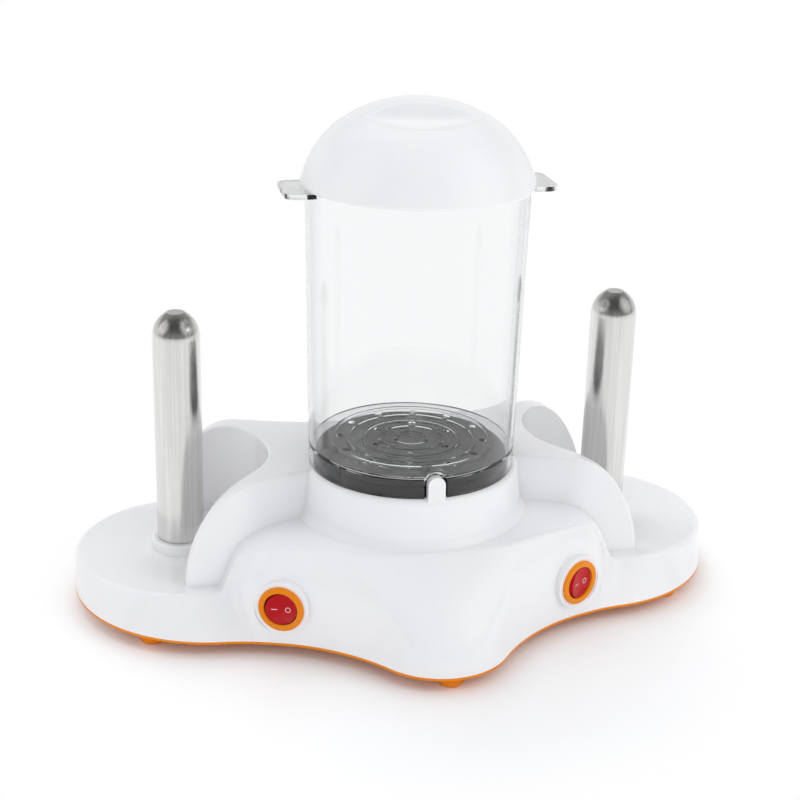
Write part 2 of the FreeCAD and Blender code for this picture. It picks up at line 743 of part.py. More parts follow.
inner_base = base_form("inner_base", "dims.wall", "dims.seam_height - 1", "dims.deck_height - dims.wall")
inner_fins = fin_form("inner_fins", "dims.wall", "dims.seam_height - 1")
LEDGE_TOP = "(dims.crest_height - dims.well_depth)"
LEDGE_FOOT = "(dims.crest_height - dims.well_depth - dims.ledge_thickness)"
inner_bosses = [
    recess("bay_wall_right", 1, "dims.wall", "dims.lobe_height - dims.wall"),
    recess("bay_wall_left", -1, "dims.wall", "dims.lobe_height - dims.wall"),
    cylinder("well_wall", "dims.well_radius + dims.wall", "dims.crest_height", ("0", "0", LEDGE_FOOT)),
]
hollow = fused("hollow", [
    cut("hollow_middle", fused("inner_middle", [inner_fins, inner_base]), fused("kept_walls", inner_bosses)),
    cylinder("hollow_pedestal", "dims.pedestal_low_radius - dims.wall", LEDGE_FOOT + " - dims.seam_height + 1",
             ("0", "0", "dims.seam_height - 1")),
])


def along_z(name, radius, low, high, across="0", deep="0"):
    """Upright cylinder between two heights."""
    return cylinder(name, radius, "(%s) - (%s)" % (high, low), (across, deep, low))


def around(name, radius, low, high, circle_radius, angles):
    """Upright cylinders evenly set on a circle about the container's axis."""
    pieces = []
    for number, angle in enumerate(angles):
        piece = along_z("%s_%d" % (name, number), radius, low, high)
        for letter, wave in (("x", "cos"), ("y", "sin")):
            piece.setExpression("Placement.Base." + letter, "%s * %s(%g deg)" % (circle_radius, wave, angle))
        pieces.append(piece)
    return pieces


STUD_ANGLES = (30, 150, 270)


def on_wall(side, depth="0", tilt="0"):
    """Placement whose Z leaves the front wall at a switch, on the right (1) or the left (-1)."""
    turn = App.Rotation(App.Vector(0, 0, 1), side * size("dims.switch_turn"))
    stand = App.Rotation(App.Vector(1, 0, 0), 90)
    lean = App.Rotation(App.Vector(0, 1, 0), size(tilt))
    out = turn.multVec(App.Vector(0, -1, 0))
    across = size("dims.switch_x")
    deep = flank_wall("table", across) - size("dims.switch_proud")
    centre = App.Vector(side * across, deep, size("dims.switch_height"))
    return App.Placement(centre + out * size(depth), turn * stand * lean)


def wall_cylinder(name, side, radius, low, high):
    """Cylinder along a switch's axis between two depths from its seat on the wall."""
    feature = doc.addObject("Part::Cylinder", name)
    feature.setExpression("Radius", radius)
    feature.setExpression("Height", "(%s) - (%s)" % (high, low))
    feature.Placement = on_wall(side, low)
    return feature


SIDES = ((1, "right"), (-1, "left"))
BOSSES = (("dims.boss_front_x", "-dims.boss_front_y", "dims.deck_height - 1"),
          ("-dims.boss_front_x", "-dims.boss_front_y", "dims.deck_height - 1"),
          ("dims.boss_rear_x", "dims.boss_rear_y", "dims.deck_height - 1"),
          ("-dims.boss_rear_x", "dims.boss_rear_y", "dims.deck_height - 1"),
          ("dims.boss_side_x", "dims.row_y", "dims.lobe_height - 1"),
          ("-dims.boss_side_x", "dims.row_y", "dims.lobe_height - 1"))
bosses = [along_z("boss_%d" % number, "dims.boss_radius", "dims.seam_height", top, across, deep)
          for number, (across, deep, top) in enumerate(BOSSES)]
pilots = [along_z("pilot_%d" % number, "dims.screw_radius - 0.3", "0", "dims.seam_height + dims.screw_length",
                  across, deep)
          for number, (across, deep, top) in enumerate(BOSSES)]

collars = [wall_cylinder("switch_seat_" + word, side, "dims.switch_collar_radius",
                         "-dims.wall - 9", "0") for side, word in SIDES]
key_foot = box("key_foot", ("dims.key_width", "dims.key_depth", "dims.key_height - dims.key_width / 2 + 8"),
               ("-dims.key_width / 2", "-dims.key_front", "dims.crest_height - 8"))
key_head = cylinder("key_head", "dims.key_width / 2", "dims.key_depth",
                    ("0", "-dims.key_front", "dims.crest_height + dims.key_height - dims.key_width / 2"), (0, 1, 0))
GLAND_SEAT = "(dims.seam_back - 1)"

openings = [
    along_z("well", "dims.well_radius", LEDGE_TOP, "dims.crest_height + 30"),
    along_z("ledge_hole", "dims.ledge_bore", LEDGE_FOOT + " - 5", "dims.crest_height + 30"),
] + around("stud_hole", "dims.stud_radius + dims.clearance", LEDGE_FOOT + " - 5", "dims.crest_height",
           "dims.stud_circle", STUD_ANGLES)
for side, word in SIDES:
    openings.append(along_z("spike_hole_" + word, "dims.collar_barrel_radius + dims.clearance",
                            "dims.seam_height", "dims.lobe_height + 5", "%d * dims.spike_x" % side, "dims.row_y"))
    openings.append(wall_cylinder("switch_hole_" + word, side, "dims.switch_body_radius + dims.clearance",
                                  "-dims.wall - 20", "20"))
    openings.append(wall_cylinder("switch_face_" + word, side, "dims.switch_collar_radius + dims.clearance",
                                  "0", "12"))
openings.append(cylinder("gland_hole", "dims.gland_radius + dims.clearance", "3 * dims.wall",
                         ("0", GLAND_SEAT + " - 2 * dims.wall", "dims.gland_height"), (0, 1, 0)))
openings.append(cylinder("gland_recess", "dims.gland_flange_radius + dims.clearance", "dims.wall",
                         ("0", GLAND_SEAT, "dims.gland_height"), (0, 1, 0)))

outer_form = fused("outer_form", [open_base, rounded_fins, pedestal, key_foot, key_head] + collars)
shell = cut("shell", outer_form, hollow)
housing = cut("housing", fused("fitted_shell", [shell] + bosses), fused("openings", openings + pilots))
keep("upper_housing", housing)

# ---- base plate and feet ----


def whole_outline(name, inset, low, thickness):
    """Solid on the base's outline at the seam."""
    body = body_named(name)
    pad(body, outline(body, low, inset, "seam"), thickness)
    return body


plate = whole_outline("plate_form", "0", "dims.foot_height", "dims.plate_thickness")
rim = cut("rim", whole_outline("rim_outer", "dims.rim_inset", "dims.seam_height - 0.5", "dims.rim_height + 0.5"),
          whole_outline("rim_inner", "(dims.rim_inset + dims.rim_wall)", "dims.seam_height - 1",
                        "dims.rim_height + 2"))

FEET = (("foot_front", "0", "-dims.foot_front_y"),
        ("foot_right", "dims.foot_side_x", "dims.row_y - dims.foot_side_y"),
        ("foot_left", "-dims.foot_side_x", "dims.row_y - dims.foot_side_y"),
        ("foot_rear_right", "dims.foot_side_x", "dims.row_y + dims.foot_side_y"),
        ("foot_rear_left", "-dims.foot_side_x", "dims.row_y + dims.foot_side_y"))
plate_holes = []
for name, across, deep in FEET:
    plate_holes.append(along_z(name + "_hole", "dims.foot_plug_radius + dims.clearance / 2", "0",
                               "dims.seam_height + dims.rim_height + 1", across, deep))
for number, (across, deep, _) in enumerate(BOSSES):
    plate_holes.append(along_z("screw_hole_%d" % number, "dims.screw_radius + dims.clearance", "0",
                               "dims.seam_height + dims.rim_height + 1", across, deep))
for row in (-1, 0, 1):
    for column in range(-3, 4):
        slot = box("vent_%d_%d" % (row + 1, column + 3), ("dims.vent_width", "dims.vent_length", "20"),
                   ("%d * dims.vent_pitch - dims.vent_width / 2" % column,
                    "%d * (dims.vent_length + dims.vent_gap) - dims.vent_length / 2" % row, "0"))
        plate_holes.append(slot)
keep("base_plate", cut("plate", fused("plate_and_rim", [plate, rim]), fused("plate_holes", plate_holes)))

for name, across, deep in FEET:
    foot = turned(name + "_turn", (
        ("0", "0"),
        ("dims.foot_radius - 1.2", "0"),
        ("dims.foot_radius", "1.2"),
        ("dims.foot_radius", "dims.foot_height"),
        ("dims.foot_plug_radius", "dims.foot_height"),
        ("dims.foot_plug_radius", "dims.seam_height + 1.5"),
        ("0", "dims.seam_height + 1.5"),
    ), {1: ("1.2", -1)})
    foot.Placement = App.Placement(App.Vector(size(across), size(deep), 0), App.Rotation())
    foot.setExpression("Placement.Base.x", across)
    foot.setExpression("Placement.Base.y", deep)
    keep(name, foot)

screws = []
for number, (across, deep, _) in enumerate(BOSSES):
    screw = turned("screw_%d" % number, (
        ("0", "dims.foot_height - dims.screw_head_height"),
        ("dims.screw_head_radius - 0.6", "dims.foot_height - dims.screw_head_height"),
        ("dims.screw_head_radius", "dims.foot_height - dims.screw_head_height + 0.6"),
        ("dims.screw_head_radius", "dims.foot_height"),
        ("dims.screw_radius - 0.3", "dims.foot_height"),
        ("dims.screw_radius - 0.3", "dims.foot_height + dims.screw_length - 1"),
        ("0", "dims.foot_height + dims.screw_length"),
    ))
    screw.setExpression("Placement.Base.x", across)
    screw.setExpression("Placement.Base.y", deep)
    screws.append(screw)
screw_group = doc.addObject("Part::Compound", "screws")
screw_group.Links = screws
keep("housing_screws", screw_group)

# ---- steam pan and what hangs under it ----

PAN_FOOT = "(%s + dims.gasket_thickness)" % LEDGE_TOP
pan_cup = turned("pan_cup", (
    ("0", PAN_FOOT),
    ("dims.pan_radius - 3", PAN_FOOT),
    ("dims.pan_radius", PAN_FOOT + " + 3"),
    ("dims.pan_radius", PAN_FOOT + " + dims.pan_height - dims.pan_wall / 2"),
    ("dims.pan_radius - dims.pan_wall", PAN_FOOT + " + dims.pan_height - dims.pan_wall / 2"),
    ("dims.pan_radius - dims.pan_wall", PAN_FOOT + " + dims.pan_floor + 3"),
    ("dims.pan_radius - dims.pan_wall - 3", PAN_FOOT + " + dims.pan_floor"),
    ("0", PAN_FOOT + " + dims.pan_floor"),
), {1: ("3", -1), 3: ("dims.pan_wall / 2 + 0.001", -1), 5: ("3", 1)})
studs = around("stud", "dims.stud_radius", LEDGE_FOOT + " - dims.clamp_thickness - dims.nut_height - 2",
               PAN_FOOT + " + 1", "dims.stud_circle", STUD_ANGLES)
keep("steam_pan", fused("pan", [pan_cup] + studs))


def washer(name, outer, bore, low, high):
    """Flat ring under the pan with holes for the studs."""
    ring = cut(name + "_ring", along_z(name + "_disc", outer, low, high),
               along_z(name + "_bore", bore, low + " - 1", high + " + 1"))
    holes = around(name + "_hole", "dims.stud_radius + dims.clearance", low + " - 1", high + " + 1",
                   "dims.stud_circle", STUD_ANGLES)
    return cut(name, ring, fused(name + "_holes", holes))


keep("pan_gasket", washer("gasket", "dims.pan_radius - 3.2", "dims.ledge_bore", LEDGE_TOP, PAN_FOOT))
keep("pan_clamp", washer("clamp", "dims.clamp_radius", "dims.clamp_bore", LEDGE_FOOT + " - dims.clamp_thickness",
                         LEDGE_FOOT))

nuts = []
for number, angle in enumerate(STUD_ANGLES):
    prism = doc.addObject("Part::Prism", "nut_%d" % number)
    prism.Polygon = 6
    prism.setExpression("Circumradius", "dims.nut_width / (2 * cos(30 deg))")
    prism.setExpression("Height", "dims.nut_height")
    prism.setExpression("Placement.Base.x", "dims.stud_circle * cos(%g deg)" % angle)
    prism.setExpression("Placement.Base.y", "dims.stud_circle * sin(%g deg)" % angle)
    prism.setExpression("Placement.Base.z", LEDGE_FOOT + " - dims.clamp_thickness - dims.nut_height")
    hole = along_z("nut_hole_%d" % number, "dims.stud_radius + 0.05",
                   LEDGE_FOOT + " - dims.clamp_thickness - dims.nut_height - 1", LEDGE_FOOT)
    for letter, wave in (("x", "cos"), ("y", "sin")):
        hole.setExpression("Placement.Base." + letter, "dims.stud_circle * %s(%g deg)" % (wave, angle))
    nuts.append(cut("bored_nut_%d" % number, prism, hole))
nut_group = doc.addObject("Part::Compound", "nuts")
nut_group.Links = nuts
keep("pan_nuts", nut_group)

HEATER_Z = "(%s - dims.heater_tube_radius - 0.1)" % PAN_FOOT
ring = doc.addObject("Part::Torus", "heater_ring")
ring.setExpression("Radius1", "dims.heater_ring_radius")
ring.setExpression("Radius2", "dims.heater_tube_radius")
ring.setExpression("Angle3", "360 - 2 * dims.heater_gap_angle")
ring.setExpression("Placement.Base.z", HEATER_Z)
ring.Placement = App.Placement(App.Vector(0, 0, size(HEATER_Z)),
                               App.Rotation(App.Vector(0, 0, 1), 90 + size("dims.heater_gap_angle")))
heater_parts = [ring]
for side in (-1, 1):
    across = "%d * dims.heater_ring_radius * sin(dims.heater_gap_angle * 1 deg)" % side
    deep = "dims.heater_ring_radius * cos(dims.heater_gap_angle * 1 deg)"
    heater_parts.append(along_z("heater_lead_%d" % (side + 1), "dims.heater_tube_radius",
                                HEATER_Z + " - dims.heater_lead", HEATER_Z, across, deep))
    elbow = doc.addObject("Part::Sphere", "heater_elbow_%d" % (side + 1))
    elbow.setExpression("Radius", "dims.heater_tube_radius")
    for letter, part in zip("xyz", (across, deep, HEATER_Z)):
        elbow.setExpression("Placement.Base." + letter, part)
    heater_parts.append(elbow)
keep("pan_heater", fused("heater", heater_parts))

keep("thermostat", fused("thermostat_form", [
    along_z("thermostat_can", "dims.thermostat_radius", PAN_FOOT + " - dims.thermostat_height", PAN_FOOT),
    box("thermostat_blades", ("dims.thermostat_radius", "1", "dims.blade_length"),
        ("-dims.thermostat_radius / 2", "-0.5", PAN_FOOT + " - dims.thermostat_height - dims.blade_length + 1")),
]))
fuse = cylinder("fuse_form", "dims.fuse_radius", "dims.fuse_length",
                ("-dims.fuse_length / 2", "-dims.heater_ring_radius / 2", PAN_FOOT + " - dims.fuse_radius - 0.1"),
                (1, 0, 0))
keep("thermal_fuse", fuse)

# ---- container and lid ----

FOOT_Z = "(dims.crest_height + dims.seat_gap)"
RIM_Z = "(%s + dims.container_height)" % FOOT_Z
FLOOR_Z = "(%s + dims.container_floor)" % FOOT_Z
SLOPE = "(dims.container_top_radius - dims.container_low_radius) / dims.container_height"


def container_radius(height):
    """Outer radius of the container at a height above its foot."""
    return "(dims.container_low_radius + (%s) * %s)" % (height, SLOPE)


def inner_radius(height):
    """Inner radius of the container at a height above its foot."""
    return "(%s - dims.container_wall)" % container_radius(height)


UNDER = "dims.container_floor"
ABOVE = "(dims.container_floor + dims.floor_thickness)"
vessel = turned("vessel", (
    (inner_radius("0"), FOOT_Z),
    (container_radius("0"), FOOT_Z),
    (container_radius("dims.container_height"), RIM_Z),
    (inner_radius("dims.container_height"), RIM_Z),
    (inner_radius(ABOVE), "%s + %s" % (FOOT_Z, ABOVE)),
    ("0", "%s + %s" % (FOOT_Z, ABOVE)),
    ("0", "%s + %s" % (FOOT_Z, UNDER)),
    (inner_radius(UNDER), "%s + %s" % (FOOT_Z, UNDER)),
))
ribs = []
for number in range(1, 6):
    ribs.append(cut("rib_%d" % number,
                    along_z("rib_disc_%d" % number, "%d * dims.ring_pitch + 0.8" % number,
                            "%s + %s - 0.5" % (FOOT_Z, ABOVE), "%s + %s + dims.ring_height" % (FOOT_Z, ABOVE)),
                    along_z("rib_bore_%d" % number, "%d * dims.ring_pitch - 0.8" % number,
                            "%s + %s - 1" % (FOOT_Z, ABOVE), "%s + %s + dims.ring_height + 1" % (FOOT_Z, ABOVE))))

ear_bar = body_named("ear_bar")
ear_sketch = new_sketch(ear_bar, "XY_Plane", "%s - dims.ear_drop" % RIM_Z)
draw(ear_sketch, (("-dims.ear_reach", "-dims.ear_width / 2"), ("dims.ear_reach", "-dims.ear_width / 2"),
                  ("dims.ear_reach", "dims.ear_width / 2"), ("-dims.ear_reach", "dims.ear_width / 2")))
pad(ear_bar, ear_sketch, "dims.ear_thickness")
fillet(ear_bar, "dims.ear_round", lambda edge: facing(edge, (0, 0, 1)))
ears = cut("ears", ear_bar, along_z("ear_bore", inner_radius("dims.container_height - dims.ear_drop") + " + 0.8",
                                    RIM_Z + " - 20", RIM_Z + " + 20"))


def arch(name, half_width, low, high, near, far):
    """Upright slab with a round head, between two depths behind the front."""
    slab = box(name + "_slab", ("2 * (%s)" % half_width, "(%s) - (%s)" % (near, far),
                                "(%s) - (%s) - (%s)" % (high, low, half_width)),
               ("-(%s)" % half_width, "-(%s)" % near, low))
    head = cylinder(name + "_head", half_width, "(%s) - (%s)" % (near, far),
                    ("0", "-(%s)" % near, "(%s) - (%s)" % (high, half_width)), (0, 1, 0))
    return fused(name, [slab, head])


NOTCH_HALF = "(dims.key_width / 2 + dims.key_gap)"
NOTCH_TOP = "(dims.crest_height + dims.key_height + dims.key_gap)"
NOTCH_BACK = "(dims.key_front - dims.key_depth - dims.key_gap)"
hood_arch = arch("hood_arch", NOTCH_HALF + " + dims.hood_wall", FOOT_Z, NOTCH_TOP + " + dims.hood_wall",
                 "dims.container_low_radius - dims.container_wall / 2", NOTCH_BACK + " - dims.hood_wall")
hood = cut("hood", hood_arch, along_z("under_floor", "dims.container_top_radius", FOOT_Z + " - 1", FLOOR_Z))
notch = arch("notch", NOTCH_HALF, "dims.crest_height - 5", NOTCH_TOP, "dims.container_top_radius + 5", NOTCH_BACK)
steam_holes = []
for number in range(12):
    for ring_number in (2, 4):
        if ring_number == 2 and number % 2:
            continue
        steam_holes += around("steam_%d_%d" % (ring_number, number), "dims.steam_hole_radius", FLOOR_Z + " - 5",
                              FLOOR_Z + " + 10", "%g * dims.ring_pitch" % (ring_number + 0.5), (30 * number + 15,))
keep("steam_container", cut("container", fused("vessel_parts", [vessel, ears, hood] + ribs),
                            fused("container_cuts", [notch] + steam_holes)))

LID_Z = "(%s - dims.lid_overlap)" % RIM_Z


def lid_form(name, inset):
    """Outside of the lid, or with an inset its inside, before the finger scoops."""
    low = "%s - 1" % LID_Z if inset != "0" else LID_Z
    return turned(name, (
        ("0", low),
        ("dims.lid_radius - %s" % inset, low),
        ("dims.lid_radius - %s" % inset, LID_Z + " + dims.lid_skirt"),
        ("dims.lid_shoulder_radius - %s * 0.7" % inset, LID_Z + " + dims.lid_shoulder_rise - %s * 0.7" % inset),
        ("0", LID_Z + " + dims.lid_height - %s" % inset),
    ), {2: ("dims.lid_shoulder_bulge", -1), 3: ("dims.lid_dome_bulge", -1)})


def scoops(name, grown):
    """Two finger scoops, front and back: a floor that falls outwards from a steep wall."""
    wall_way = ("-sin(dims.scoop_wall_lean * 1 deg)", "cos(dims.scoop_wall_lean * 1 deg)")
    floor_way = ("cos(dims.scoop_floor_lean * 1 deg)", "-sin(dims.scoop_floor_lean * 1 deg)")
    radius = "(dims.scoop_radius + %s)" % grown
    height = "(%s + dims.scoop_rise)" % LID_Z
    low_end = ("dims.scoop_y + %s * (%s)" % (radius, floor_way[1]),
               "%s - %s * %s" % (height, radius, floor_way[0]))
    high_end = ("dims.scoop_y - %s * %s" % (radius, wall_way[1]),
                "%s + %s * (%s)" % (height, radius, wall_way[0]))
    corners = (high_end, low_end,
               ("%s + dims.lid_radius * %s" % (low_end[0], floor_way[0]),
                "%s + dims.lid_radius * (%s)" % (low_end[1], floor_way[1])),
               ("dims.scoop_y + 2 * dims.lid_radius", height + " + dims.lid_height"),
               ("%s + dims.lid_height * (%s)" % (high_end[0], wall_way[0]),
                "%s + dims.lid_height * %s" % (high_end[1], wall_way[1])))
    pieces = []
    for side in (-1, 1):
        body = body_named("%s_%d" % (name, side + 1))
        sketch = new_sketch(body, "YZ_Plane")
        if side == 1:
            draw(sketch, corners, {0: (radius, -1)})
        else:
            flipped = [("-(%s)" % across, up) for across, up in (corners[1], corners[0]) + corners[:1:-1]]
            draw(sketch, flipped, {0: (radius, -1)})
        pad(body, sketch, "3 * dims.lid_radius", both_ways=True)
        body.Placement = App.Placement(App.Vector(), App.Rotation(App.Vector(0, 0, 1), size("dims.lid_turn")))
        pieces.append(body)
    return fused(name, pieces)


def round_scoop(edge):
    """Whether an edge is part of a scoop's outline on the lid."""
    middle = edge_middle(edge)
    turn = math.radians(size("dims.lid_turn"))
    sideways = (math.cos(turn), math.sin(turn), 0)
    return (middle.z > size(LID_Z + " + dims.lid_shoulder_rise") - 4 and not facing(edge, sideways, 0.9999)
            and math.hypot(middle.x, middle.y) > 1)


lid_top = rounded("lid_top", cut("lid_outside", lid_form("lid_outer", "0"), scoops("scoops", "0")),
                  "dims.scoop_edge", round_scoop)
lid_shell = cut("lid_shell", lid_top,
                cut("lid_inside", lid_form("lid_inner", "dims.lid_wall"), scoops("scoop_walls", "dims.lid_wall")))
lid_ledge = turned("lid_ledge", (
    (inner_radius("dims.container_height") + " + 0.3", RIM_Z + " + dims.seat_gap"),
    ("dims.lid_radius - dims.lid_wall + 0.5", RIM_Z + " + dims.seat_gap"),
    ("dims.lid_radius - dims.lid_wall + 0.5", RIM_Z + " + dims.seat_gap + 1.6"),
    (inner_radius("dims.container_height") + " + 0.3", RIM_Z + " + dims.seat_gap + 1.6"),
))
keep("lid", fused("lid_form", [lid_shell, lid_ledge]))

# ---- spikes ----


def tangent_radius(length, inward):
    """Radius of an arc that leaves an upright wall smoothly and leans inward over a length."""
    return "((%s ^ 2 + %s ^ 2) / (2 * %s))" % (length, inward, inward)


TUBE_FOOT = "(dims.lobe_height - dims.collar_barrel_length + dims.collar_lip)"
SPIKE_TOP = "(dims.lobe_height + dims.spike_height)"
SHOULDER = "(dims.lobe_height + dims.collar_height + dims.shoulder_gap)"
for side, word in SIDES:
    where = {"x": "%d * dims.spike_x" % side, "y": "dims.row_y"}
    tube = turned("tube_" + word, (
        ("dims.spike_radius - dims.spike_wall", TUBE_FOOT),
        ("dims.spike_radius - dims.spike_shoulder", TUBE_FOOT),
        ("dims.spike_radius - dims.spike_shoulder", SHOULDER),
        ("dims.spike_radius", SHOULDER),
        ("dims.spike_radius", SPIKE_TOP + " - dims.spike_tip_length"),
        ("dims.spike_tip_radius", SPIKE_TOP),
        ("0", SPIKE_TOP),
        ("0", SPIKE_TOP + " - dims.spike_wall"),
        ("dims.spike_tip_radius", SPIKE_TOP + " - dims.spike_wall"),
        ("dims.spike_radius - dims.spike_wall", SPIKE_TOP + " - dims.spike_tip_length"),
    ), {4: (tangent_radius("dims.spike_tip_length", "(dims.spike_radius - dims.spike_tip_radius)"), -1),
        8: (tangent_radius("(dims.spike_tip_length - dims.spike_wall)",
                           "(dims.spike_radius - dims.spike_wall - dims.spike_tip_radius)"), 1)})
    collar = turned("collar_" + word, (
        ("dims.spike_radius - dims.spike_wall - 1.6", "dims.lobe_height - dims.collar_barrel_length"),
        ("dims.collar_barrel_radius", "dims.lobe_height - dims.collar_barrel_length"),
        ("dims.collar_barrel_radius", "dims.lobe_height"),
        ("dims.collar_radius", "dims.lobe_height"),
        ("dims.collar_radius", "dims.lobe_height + dims.collar_height - 1.6"),
        ("dims.collar_radius - 1.6", "dims.lobe_height + dims.collar_height"),
        ("dims.spike_radius - dims.spike_shoulder + dims.spike_fit", "dims.lobe_height + dims.collar_height"),
        ("dims.spike_radius - dims.spike_shoulder + dims.spike_fit", TUBE_FOOT),
        ("dims.spike_radius - dims.spike_wall - 1.6", TUBE_FOOT),
    ), {4: ("1.6", -1)})
    core = turned("core_" + word, (
        ("0", TUBE_FOOT),
        ("dims.spike_radius - dims.spike_wall - dims.core_gap", TUBE_FOOT),
        ("dims.spike_radius - dims.spike_wall - dims.core_gap", TUBE_FOOT + " + dims.core_length"),
        ("0", TUBE_FOOT + " + dims.core_length"),
    ))
    ring_nut = turned("ring_nut_" + word, (
        ("dims.collar_barrel_radius + 0.05", "dims.lobe_height - dims.wall - dims.spike_nut_height"),
        ("dims.spike_nut_radius", "dims.lobe_height - dims.wall - dims.spike_nut_height"),
        ("dims.spike_nut_radius", "dims.lobe_height - dims.wall"),
        ("dims.collar_barrel_radius + 0.05", "dims.lobe_height - dims.wall"),
    ))
    for name, piece in (("spike_tube_", tube), ("spike_collar_", collar), ("spike_core_", core),
                        ("spike_nut_", ring_nut)):
        for letter, expression in where.items():
            piece.setExpression("Placement.Base." + letter, expression)
        keep(name + word, piece)

# ---- switches ----

for side, word in SIDES:
    trim = turned("trim_" + word, (
        ("dims.ring_bore", "0"),
        ("dims.ring_radius", "0"),
        ("dims.ring_radius", "dims.ring_rise - 0.7"),
        ("dims.ring_radius - 0.7", "dims.ring_rise"),
        ("dims.ring_bore + 0.4", "dims.ring_rise"),
        ("dims.ring_bore", "dims.ring_rise - 0.4"),
    ), {2: ("0.7", -1)})
    trim.Placement = on_wall(side)
    keep("switch_ring_" + word, trim)

    can = turned("can_" + word, (
        ("0", "-dims.switch_body_depth"),
        ("dims.switch_body_radius", "-dims.switch_body_depth"),
        ("dims.switch_body_radius", "0"),
        ("dims.ring_bore", "0"),
        ("dims.ring_bore", "2 - dims.switch_body_depth"),
        ("0", "2 - dims.switch_body_depth"),
    ))
    can.Placement = on_wall(side)
    pin_hole = doc.addObject("Part::Cylinder", "pin_hole_" + word)
    pin_hole.setExpression("Radius", "dims.rocker_pin_radius + dims.pin_fit")
    pin_hole.setExpression("Height", "2 * dims.switch_body_radius + 2")
    pivot = on_wall(side, "-dims.pivot_depth")
    upright = App.Rotation(App.Vector(0, 0, 1), 0)
    pin_drop = App.Vector(0, 0, size("dims.switch_body_radius + 1"))
    pin_hole.Placement = App.Placement(pivot.Base - pin_drop, upright)
    blades = []
    for number in (-1, 0, 1):
        blade = box("blade_%s_%d" % (word, number + 1),
                    ("dims.blade_thickness", "dims.blade_width", "dims.blade_length + 0.5"))
        corner = (number * size("dims.blade_pitch") - size("dims.blade_thickness / 2"),
                  -size("dims.blade_width / 2"),
                  -size("dims.switch_body_depth + dims.blade_length"))
        shift = on_wall(side).multVec(App.Vector(*corner))
        blade.Placement = App.Placement(shift, on_wall(side).Rotation)
        blades.append(blade)
    keep("switch_body_" + word, cut("switch_can_" + word, fused("bladed_can_" + word, [can] + blades), pin_hole))

    low = "(dims.rocker_face - dims.rocker_depth)"
    disc = turned("disc_" + word, (
        ("0", low),
        ("sqrt(dims.rocker_radius ^ 2 - %s ^ 2)" % low, low),
        ("sqrt(dims.rocker_radius ^ 2 - dims.rocker_face ^ 2)", "dims.rocker_face"),
        ("0", "dims.rocker_face"),
    ), {1: ("dims.rocker_radius", -1)})
    dish = cylinder("dish_" + word, "dims.dish_radius", "2 * dims.rocker_radius",
                    ("0", "-dims.rocker_radius", "dims.rocker_face - 1 + dims.dish_radius"), (0, 1, 0))
    pins = cylinder("pins_" + word, "dims.rocker_pin_radius", "2 * dims.switch_body_radius - 0.4",
                    ("0", "-dims.switch_body_radius + 0.2", "0"), (0, 1, 0))
    button = cut("button_" + word, fused("pinned_disc_" + word, [disc, pins]), dish)
    button.Placement = on_wall(side, "-dims.pivot_depth", "dims.rocker_tilt")
    keep("switch_rocker_" + word, button)

# ---- terminal block and cord gland ----

block = box("block_form", ("dims.terminal_length", "dims.terminal_depth", "dims.terminal_height"),
            ("-dims.terminal_length / 2", "dims.terminal_y - dims.terminal_depth / 2", "dims.seam_height"))
wells = []
for column in range(4):
    for row in (-1, 1):
        wells.append(along_z("terminal_%d_%d" % (column, row + 1), "2.2",
                             "dims.seam_height + dims.terminal_height - 4",
                             "dims.seam_height + dims.terminal_height + 1",
                             "(%g) * dims.terminal_length / 4" % (column - 1.5),
                             "dims.terminal_y + %d * dims.terminal_depth / 4" % row))
keep("terminal_block", cut("terminals", block, fused("terminal_wells", wells)))

gland = turned("gland_turn", (
    ("dims.gland_bore", "-dims.gland_length"),
    ("dims.gland_radius", "-dims.gland_length"),
    ("dims.gland_radius", "0"),
    ("dims.gland_flange_radius", "0"),
    ("dims.gland_flange_radius", "dims.gland_flange - 0.8"),
    ("dims.gland_flange_radius - 0.8", "dims.gland_flange"),
    ("dims.gland_bore + 0.8", "dims.gland_flange"),
    ("dims.gland_bore", "dims.gland_flange - 0.8"),
), {4: ("0.8", -1), 6: ("0.8", -1)})
gland.Placement = App.Placement(App.Vector(0, size(GLAND_SEAT), size("dims.gland_height")),
                                App.Rotation(App.Vector(1, 0, 0), -90))
keep("cord_gland", gland)

# ---- check and write ----

doc.recompute()
failed = [thing.Name for thing in doc.Objects if "Invalid" in thing.State or "Error" in thing.State]
if failed:
    raise RuntimeError("failed objects: " + ", ".join(failed))
for name, piece in nodes.items():
    shape = piece.Shape
    if shape.isNull() or not shape.isValid() or not shape.Solids:
        raise RuntimeError("bad shape: " + name)
os.makedirs("parts", exist_ok=True)
for name, piece in nodes.items():
    piece.Shape.exportStep("parts/%s.step" % name)
print("%d sub-parts written" % len(nodes))
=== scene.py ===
"""Looks of the hot dog toaster: finishes, the rockers' marks, a pale studio and the camera."""
import json
import math

import bpy
from mathutils import Matrix, Vector


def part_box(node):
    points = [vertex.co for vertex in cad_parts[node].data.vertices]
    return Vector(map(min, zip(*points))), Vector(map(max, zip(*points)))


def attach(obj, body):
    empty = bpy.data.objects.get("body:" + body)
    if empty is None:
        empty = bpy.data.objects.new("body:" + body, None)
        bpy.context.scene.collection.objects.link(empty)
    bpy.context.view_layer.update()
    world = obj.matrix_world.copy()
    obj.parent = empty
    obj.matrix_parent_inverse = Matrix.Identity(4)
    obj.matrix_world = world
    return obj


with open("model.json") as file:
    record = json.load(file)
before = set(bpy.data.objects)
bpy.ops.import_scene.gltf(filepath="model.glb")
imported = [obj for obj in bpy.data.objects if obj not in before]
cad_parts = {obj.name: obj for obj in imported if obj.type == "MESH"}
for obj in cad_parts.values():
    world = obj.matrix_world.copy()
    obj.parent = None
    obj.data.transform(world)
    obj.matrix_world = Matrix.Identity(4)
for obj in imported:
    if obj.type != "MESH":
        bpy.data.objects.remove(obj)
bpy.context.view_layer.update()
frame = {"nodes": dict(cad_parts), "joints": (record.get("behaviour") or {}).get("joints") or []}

MM = 0.001
nodes = frame["nodes"]
